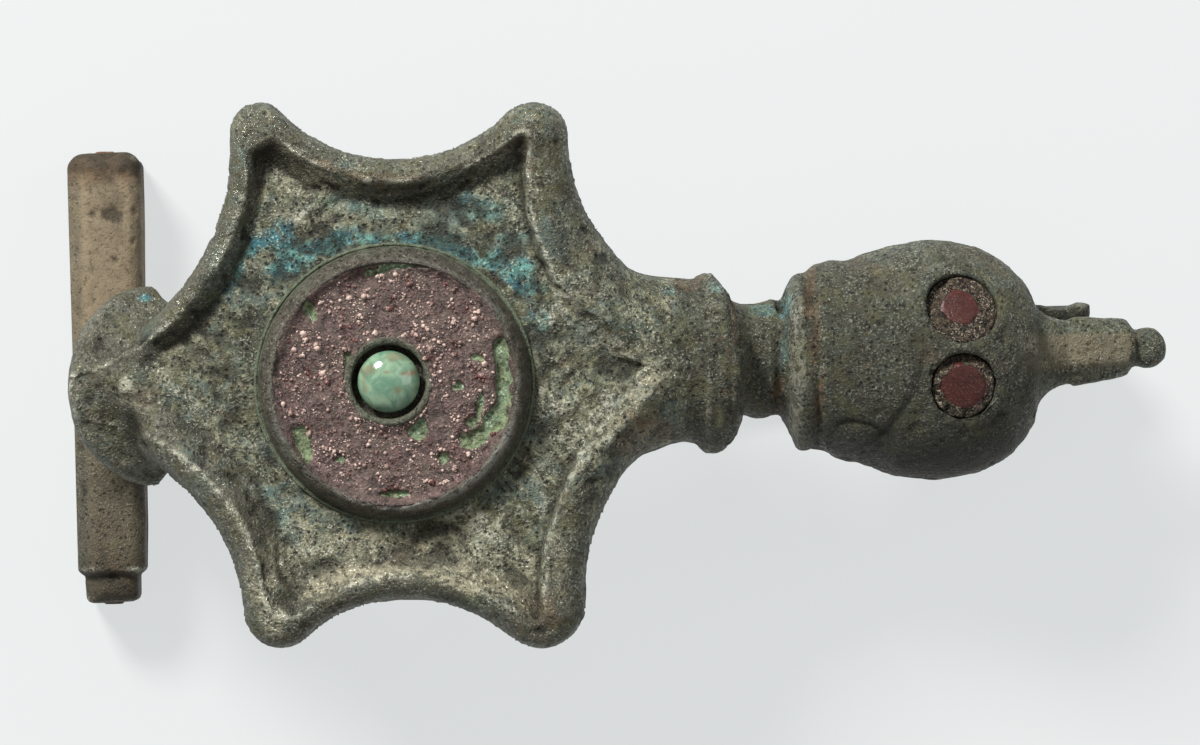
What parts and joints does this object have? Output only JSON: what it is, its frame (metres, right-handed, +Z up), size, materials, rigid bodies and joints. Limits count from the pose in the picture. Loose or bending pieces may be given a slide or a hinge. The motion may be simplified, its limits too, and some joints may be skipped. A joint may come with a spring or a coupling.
{
  "type": "fibula brooch",
  "caption": "Cast copper-alloy bow brooch: a star-shaped plate with an inlaid disc, ringed neck and beaked animal head, with a hinged pin and catch beneath.",
  "frame": {"origin": "middle of the crossbar's flat underside", "axes": "+X along the bow from the crossbar to the beak, +Y across the bow along the crossbar, +Z up, toward the decorated face"},
  "size_m": [0.0563, 0.0276, 0.0158],
  "materials": {
    "bow": "dark grey-green patina over cast copper alloy",
    "disc_setting": "dark brown patina, worn smooth on the rim",
    "enamel_ring": "gritty purple-brown weathered enamel",
    "glass_bead": "opaque turquoise-green, glossy",
    "eye_inlay_upper": "opaque dark red in a corroded edge",
    "eye_inlay_lower": "opaque dark red in a corroded edge",
    "axle_rod": "rusty iron",
    "pin": "dark green-grey patina"
  },
  "bodies": {
    "brooch": {"bow": "bow", "disc_setting": "disc_setting", "enamel_ring": "enamel_ring", "glass_bead": "glass_bead", "eye_inlay_upper": "eye_inlay_upper", "eye_inlay_lower": "eye_inlay_lower", "axle_rod": "axle_rod"},
    "pin": {"pin": "pin"}
  },
  "joints": [
    {"name": "pin_swing", "type": "hinge", "parent": "brooch", "child": "pin", "pos_m": [0, -0.0017, 0.0021], "axis": [0, 1, 0], "range_deg": [-3, 100]}
  ]
}
